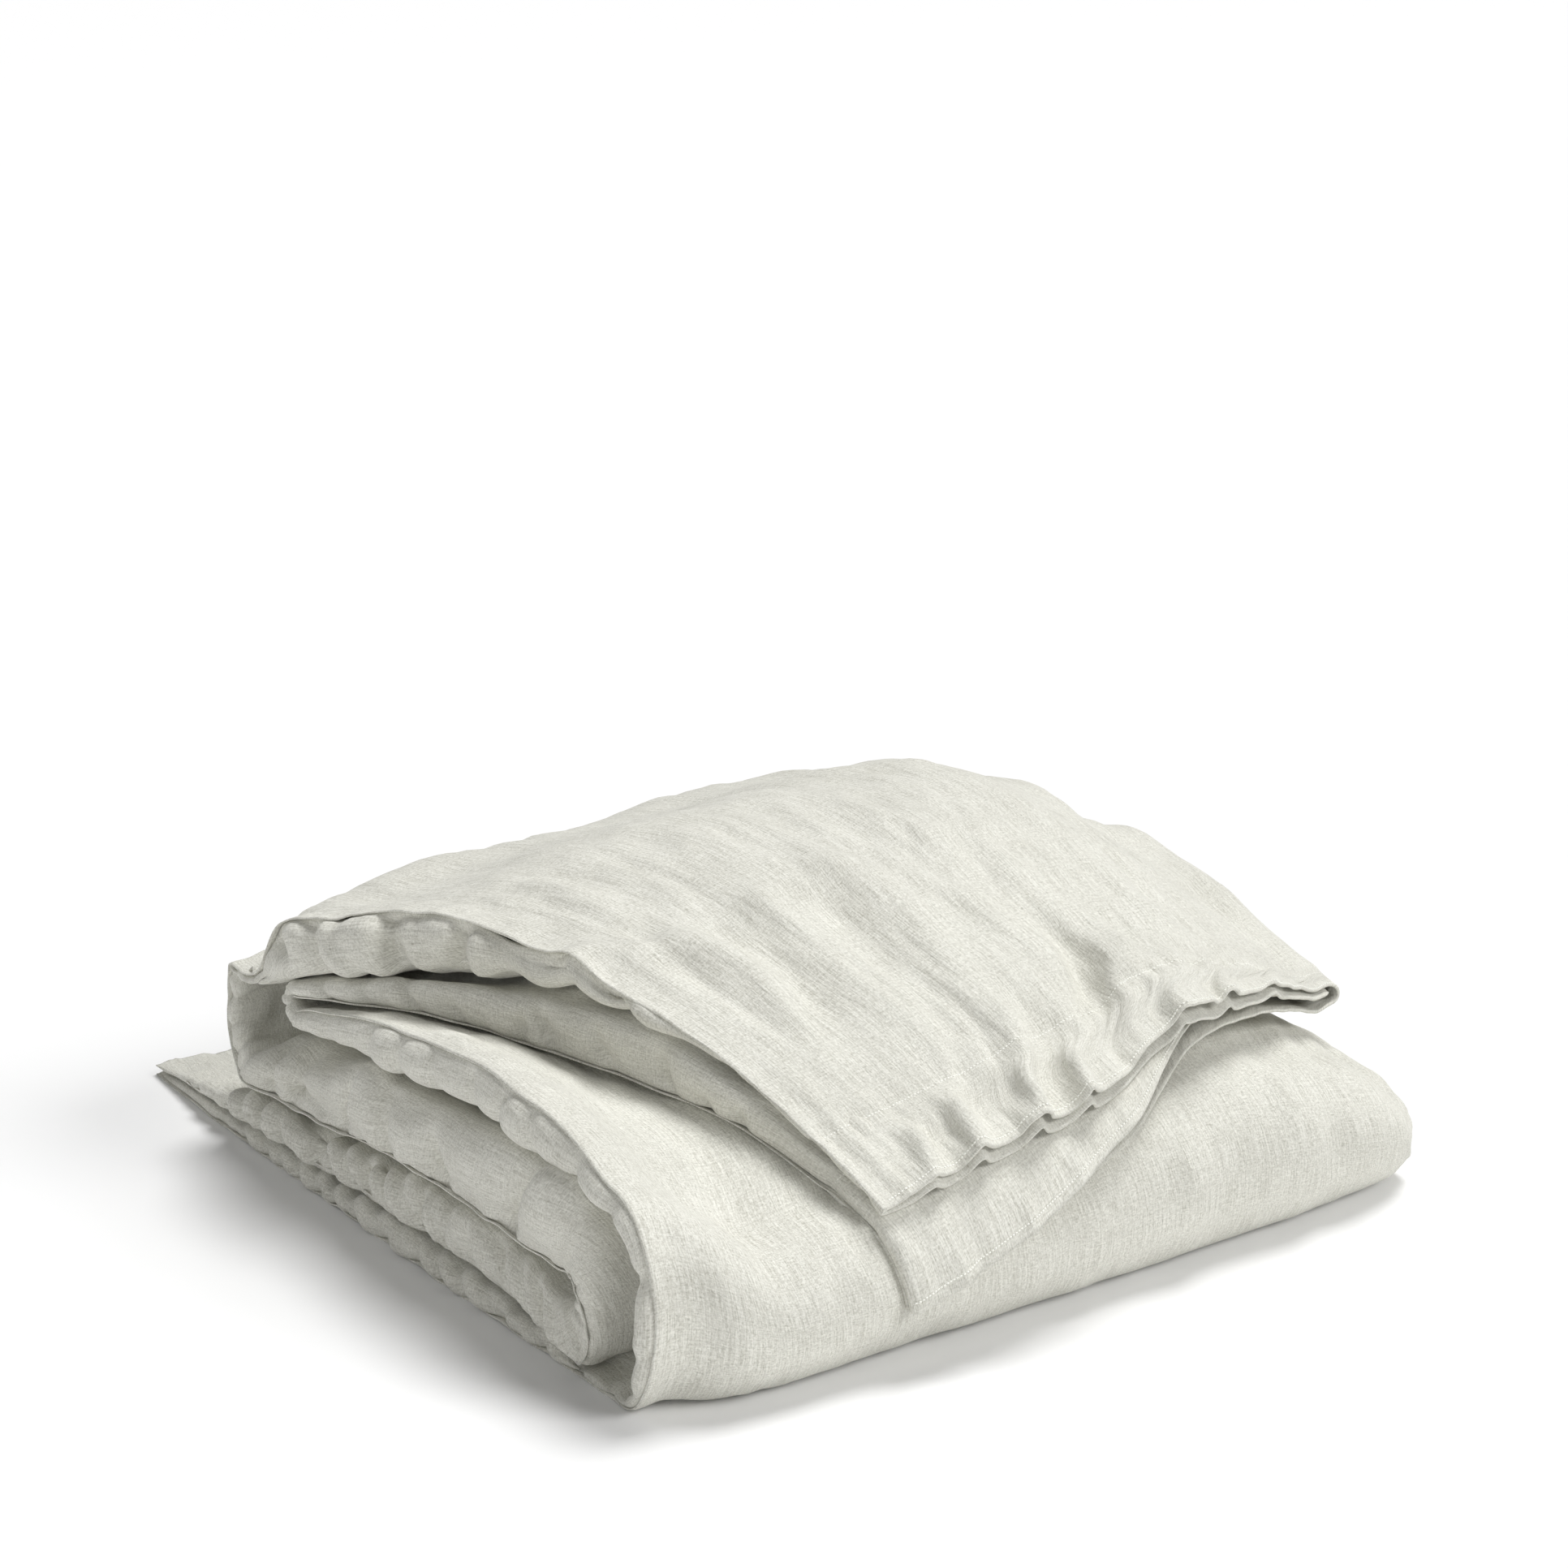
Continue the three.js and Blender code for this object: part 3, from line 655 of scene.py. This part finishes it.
# Where a panel's mesh is made finer, once or twice, in millimetres of flat cloth.
FINER = {
    "outer": (
        lambda a, s: (min(a, CUT_WIDTH - a) < 80) | (abs(a - CUT_WIDTH / 2) < 60)
        | ((a < 700) & (s > 1190)) | ((a > 650) & (s > 580) & (s < 1050)) | (s > 1900),
        lambda a, s: ((a < 80) & ((s < 800) | (s > 1400)))
        | ((a > CUT_WIDTH - 24) & ((s < 1300) | (s > 1800)))
        | (s > 1945) | ((a < 560) & (s > 1660)),
    ),
    "inner": (
        lambda a, s: (min(a, CUT_WIDTH - a) < 110) | (s > 1900),
        lambda a, s: ((a > CUT_WIDTH - 70)) | ((a < 90) & (s > 760)) | (a < 24) | (s > 1955),
    ),
}
COARSE = 16  # spacing of the mesh before it is made finer
EDGE_DRAW, EDGE_DRAW_REACH = 0.55, 14
STITCH_PITCH = 3.2
STITCH_SIZE = (1.25, 0.62, 0.5)  # half a stitch's length, width and height
STITCH_ROWS = ((CUT_LENGTH - HEM_DEPTH, 0.85), (CUT_LENGTH - 5, 1.15))  # place along, rise
SEAM_MARGIN = 12  # from a side seam to the nearest stitch


def closer_to_edge(away):
    """Draws the rows of a mesh together towards an edge of the cloth."""
    return away * (1 - EDGE_DRAW * np.exp(-away / EDGE_DRAW_REACH))


def flat_cut(panel, name):
    """A panel's mesh before it is folded, finer where it shows, and its places in millimetres."""
    flat = bmesh.new()
    bmesh.ops.create_grid(flat, x_segments=round(CUT_WIDTH / COARSE),
                          y_segments=round(CUT_LENGTH / COARSE), size=0.5)
    for vert in flat.verts:
        vert.co.x = (vert.co.x + 0.5) * CUT_WIDTH
        vert.co.y = (vert.co.y + 0.5) * CUT_LENGTH
    for inside in FINER[panel]:
        chosen = []
        for face in flat.faces:
            middle = face.calc_center_median()
            if len(face.verts) == 4 and inside(middle.x, middle.y):
                chosen.extend(face.edges)
        bmesh.ops.subdivide_edges(flat, edges=list(set(chosen)), cuts=1, use_grid_fill=True)
    mesh = bpy.data.meshes.new(name)
    flat.to_mesh(mesh)
    flat.free()
    cut = np.empty(len(mesh.vertices) * 3)
    mesh.vertices.foreach_get("co", cut)
    cut = cut.reshape(-1, 3)
    from_right = CUT_WIDTH - closer_to_edge(CUT_WIDTH - cut[:, 0])
    cut[:, 0] = closer_to_edge(cut[:, 0]) + from_right - cut[:, 0]
    cut[:, 1] = CUT_LENGTH - closer_to_edge(CUT_LENGTH - cut[:, 1])
    return mesh, cut


def sewn_panel(panel, name, form):
    """One panel as a thin closed sheet: its flat cut laid in its folds and given its thickness."""
    mesh, cut = flat_cut(panel, name)
    uv = mesh.uv_layers.new(name="cut")
    corners = np.empty(len(mesh.loops), int)
    mesh.loops.foreach_get("vertex_index", corners)
    uv.data.foreach_set("uv", (cut[corners, :2] / 1000).ravel())
    places = (sample(form, cut[:, 0], cut[:, 1]) - ORIGIN) / 1000
    mesh.vertices.foreach_set("co", places.ravel())
    mesh.update()
    piece = link(mesh, name)
    group = piece.vertex_groups.new(name="thickness")
    hem = smooth((cut[:, 1] - (CUT_LENGTH - HEM_DEPTH - 2)) / 6)
    for index, share in enumerate(mix(CLOTH, HEM_CLOTH, hem) / HEM_CLOTH):
        group.add((index,), float(share), "REPLACE")
    wall = piece.modifiers.new("thickness", "SOLIDIFY")
    wall.thickness = HEM_CLOTH / 1000
    wall.offset = 0
    wall.vertex_group = group.name
    wall.use_even_offset = False
    for polygon in mesh.polygons:
        polygon.use_smooth = True
    return piece


def stitch_rows(panel, name, form):
    """Rows of stitches across a panel, each a small bead of thread half sunk into the cloth."""
    directions = outward(form, panel)
    across = np.arange(SEAM_MARGIN, CUT_WIDTH - SEAM_MARGIN, STITCH_PITCH)
    beads = bmesh.new()
    for along, rise in STITCH_ROWS:
        places = sample(form, across, np.full(across.shape, along))
        outwards = sample(directions, across, np.full(across.shape, along))
        centres = (places + outwards * rise - ORIGIN) / 1000
        for centre, out, sideways in zip(centres, outwards, np.gradient(places, axis=0)):
            out, sideways = Vector(out), Vector(sideways)
            axes = (sideways.normalized(), out.cross(sideways).normalized(), out)
            bead = Matrix([axis * size / 1000 for axis, size in zip(axes, STITCH_SIZE)])
            bead = Matrix.Translation(Vector(centre)) @ bead.transposed().to_4x4()
            bmesh.ops.create_icosphere(beads, subdivisions=1, radius=1, matrix=bead)
    mesh = bpy.data.meshes.new(name)
    beads.to_mesh(mesh)
    beads.free()
    for polygon in mesh.polygons:
        polygon.use_smooth = True
    return link(mesh, name)


class Signal:
    """A shader socket that can be added, scaled and compared like a number."""

    def __init__(self, finish, socket):
        self.finish, self.socket = finish, socket

    def maths(self, operation, *values):
        inputs = dict(enumerate(values))
        return self.finish.node("ShaderNodeMath", {"operation": operation}, inputs).out(0)

    def __add__(self, other):
        return self.maths("ADD", self, other)

    def __sub__(self, other):
        return self.maths("SUBTRACT", self, other)

    def __rsub__(self, other):
        return self.maths("SUBTRACT", other, self)

    def __mul__(self, other):
        return self.maths("MULTIPLY", self, other)

    def above(self, low, high):
        """0 below one value, 1 above the other."""
        settings = {"interpolation_type": "SMOOTHSTEP"}
        return self.finish.node("ShaderNodeMapRange", settings, {0: self, 1: low, 2: high}).out(0)

    __radd__, __rmul__ = __add__, __mul__


class Node:
    """A shader node, with its outputs as signals."""

    def __init__(self, finish, node):
        self.finish, self.node = finish, node

    def out(self, name):
        return Signal(self.finish, self.node.outputs[name])


class Finish:
    """One material and the nodes that make it."""

    def __init__(self, name):
        self.material = bpy.data.materials.new(name)
        self.material.use_nodes = True
        self.tree = self.material.node_tree
        self.tree.nodes.clear()

    def node(self, kind, settings=None, inputs=None):
        """Adds a node of any type with its settings and the values or links of its sockets."""
        node = self.tree.nodes.new(kind)
        for name, value in (settings or {}).items():
            setattr(node, name, value)
        for name, value in (inputs or {}).items():
            if isinstance(value, Signal):
                self.tree.links.new(value.socket, node.inputs[name])
            else:
                node.inputs[name].default_value = value
        return Node(self, node)

    def noise(self, place, scale, detail, roughness):
        inputs = {"Vector": place, "Scale": scale, "Detail": detail, "Roughness": roughness}
        return self.node("ShaderNodeTexNoise", inputs=inputs).out("Fac")

    def streaks(self, place, across, along, detail, roughness=0.6):
        """Noise stretched across or along the cloth, by how often it changes in a metre of each."""
        inputs = {"Vector": place, "Scale": (across, along, 1)}
        stretched = self.node("ShaderNodeMapping", {"vector_type": "POINT"}, inputs).out(0)
        return self.noise(stretched, 1.0, detail, roughness)

    def colours(self, share, low, high):
        """A colour between two others, each a plain colour or one that other nodes make."""
        low, high = ((*end, 1) if isinstance(end, tuple) else end for end in (low, high))
        inputs = {0: share, 6: low, 7: high}
        return self.node("ShaderNodeMix", {"data_type": "RGBA"}, inputs).out(2)

    def surface(self, inputs):
        shader = self.node("ShaderNodeBsdfPrincipled", inputs=inputs).out(0)
        self.node("ShaderNodeOutputMaterial", inputs={"Surface": shader})
        return self.material


DARK_YARN, PALE_YARN, FLECK = (0.405, 0.394, 0.333), (0.832, 0.826, 0.76), (0.86, 0.84, 0.78)
YARN_CONTRAST = 4.6


def washed_linen(name):
    """Undyed linen: uneven yarns along and across the cloth, pale flecks and a soft crumple."""
    linen = Finish(name)
    uv = linen.node("ShaderNodeUVMap", {"uv_map": "cut"}).out(0)
    warp = linen.streaks(uv, 900, 34, 3.0)
    weft = linen.streaks(uv, 40, 820, 3.0)
    fine_warp = linen.streaks(uv, 1250, 260, 2.0)
    fine_weft = linen.streaks(uv, 230, 1150, 2.0)
    grain = linen.noise(uv, 760.0, 2.0, 0.7)
    mottle = linen.noise(uv, 16.0, 4.0, 0.6)
    fleck = linen.streaks(uv, 620, 330, 0.0, 0.5).above(0.78, 0.84) * 0.5
    tone = warp * 0.27 + weft * 0.12 + fine_warp * 0.22 + fine_weft * 0.18 + grain * 0.28
    tone = (tone - 0.5) * YARN_CONTRAST + 0.5 + (mottle - 0.5) * 0.3
    yarns = linen.colours(tone, DARK_YARN, PALE_YARN)
    crumple = linen.streaks(uv, 120, 60, 4.0, 0.62)
    # Heights in metres.
    relief = warp * 0.00016 + weft * 0.0001 + grain * 0.00008 + fleck * 0.0001 + crumple * 0.0018
    bump = {"Strength": 0.8, "Distance": 1.0, "Height": relief}
    return linen.surface({
        "Base Color": linen.colours(fleck, yarns, FLECK), "Roughness": 0.92,
        "Normal": linen.node("ShaderNodeBump", inputs=bump).out(0),
        "Sheen Weight": 0.12, "Sheen Roughness": 0.5, "Specular IOR Level": 0.2,
    })


def plain(name, colour, roughness):
    return Finish(name).surface({"Base Color": (*colour, 1), "Roughness": roughness})


# The camera, fitted to the photo, and the studio.
CAMERA_DOWN, CAMERA_RIGHT = 0.2824, 0.6146  # how far it is turned, in radians
SENSOR, PHOTO_WIDTH, FOCAL = 36, 1932, 4000  # the sensor in millimetres, the others in pixels
camera = bpy.data.objects.new("camera", bpy.data.cameras.new("camera"))
bpy.context.scene.collection.objects.link(camera)
camera.location = (-1.2842, -1.8306, 0.9212)
camera.rotation_euler = (math.pi / 2 - CAMERA_DOWN, 0, -CAMERA_RIGHT)
camera.data.sensor_width = SENSOR
camera.data.lens = FOCAL / PHOTO_WIDTH * SENSOR
camera.data.clip_end = 200
bpy.context.scene.camera = camera

floor_cut = bmesh.new()
bmesh.ops.create_grid(floor_cut, x_segments=1, y_segments=1, size=60)
floor_mesh = bpy.data.meshes.new("floor")
floor_cut.to_mesh(floor_mesh)
floor_cut.free()
floor = link(floor_mesh, "floor")
floor.data.materials.append(plain("pale floor", (0.93, 0.93, 0.93), 0.9))


def sun(name, direction, strength, spread):
    """Light that comes from one direction; its spread in degrees softens the shadows."""
    light = bpy.data.lights.new(name, "SUN")
    light.energy, light.angle = strength, math.radians(spread)
    made = bpy.data.objects.new(name, light)
    bpy.context.scene.collection.objects.link(made)
    made.rotation_euler = (-Vector(direction)).to_track_quat("-Z", "Y").to_euler()


sun("soft overhead light", (0.34, 0.08, 1.0), 2.2, 26)
sun("soft light from the front right", (0.6, -1.0, 0.8), 1.45, 26)
sun("soft light from the left", (-1.0, -0.7, 0.35), 0.45, 30)
sun("soft light from behind on the left", (-0.7, 0.6, 1.0), 0.3, 30)
world = bpy.data.worlds.new("studio")
bpy.context.scene.world = world
world.use_nodes = True
background = world.node_tree.nodes["Background"]
background.inputs["Color"].default_value = (1, 1, 1, 1)
background.inputs["Strength"].default_value = 0.09
bpy.context.scene.view_settings.view_transform = "Standard"

# The cover.
linen = washed_linen("washed linen")
thread = plain("undyed thread", (0.93, 0.93, 0.87), 0.7)
for panel, name in (("outer", "outer_panel_cloth"), ("inner", "inner_panel_cloth")):
    form = panel_form(panel)
    cloth = sewn_panel(panel, name, form)
    cloth.data.materials.append(linen)
    stitches = stitch_rows(panel, f"{panel}_panel_hem_stitches", form)
    stitches.data.materials.append(thread)
    for piece in (cloth, stitches):
        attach(piece, "root")
    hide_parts(f"{panel}_panel")
